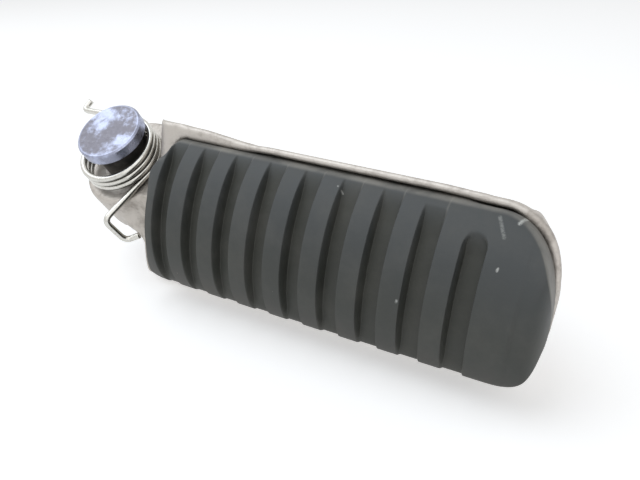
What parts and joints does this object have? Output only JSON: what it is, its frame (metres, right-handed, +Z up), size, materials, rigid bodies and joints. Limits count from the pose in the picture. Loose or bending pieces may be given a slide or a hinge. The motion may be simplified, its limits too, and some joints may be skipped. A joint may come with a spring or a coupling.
{
  "type": "motorcycle footpeg",
  "caption": "Right-hand folding rider's footpeg: ribbed rubber pad on a cast aluminium tray, with a leaning pivot pin and its return spring.",
  "frame": {"origin": "on the hinge axis, 12 mm below the pivot knuckle's upper face and 1.5 mm above its lower face", "axes": "+X outboard along the peg, +Y to the front of the motorcycle, +Z up from the tread; the hinge axis lies in the YZ plane, 45 degrees from +Z towards +Y"},
  "size_m": [0.1383, 0.0437, 0.0398],
  "materials": {
    "cast_aluminium": "as cast, blasted, satin",
    "pad_rubber": "moulded, worn satin",
    "zinc_steel": "zinc plated",
    "spring_wire": "bright zinc plated",
    "dark_steel": "plain, oiled"
  },
  "bodies": {
    "pin": {"pivot_pin": "zinc_steel"},
    "peg": {"spring_collar": "dark_steel", "return_spring": "spring_wire", "peg_body": "cast_aluminium", "rubber_pad": "pad_rubber", "pad_plate": "dark_steel", "pad_nut_inner": "dark_steel", "pad_nut_outer": "dark_steel", "pad_washer_inner": "zinc_steel", "pad_washer_outer": "zinc_steel", "pad_bolt_inner": "zinc_steel", "pad_bolt_outer": "zinc_steel"}
  },
  "joints": [
    {"name": "peg_fold", "type": "hinge", "parent": "pin", "child": "peg", "pos_m": [0, 0, 0], "axis": [0, -0.7071, -0.7071], "range_deg": [0, 80], "stiffness_Nm_per_rad": 0.25, "springref_deg": -68.75, "deforming": ["return_spring"]}
  ]
}
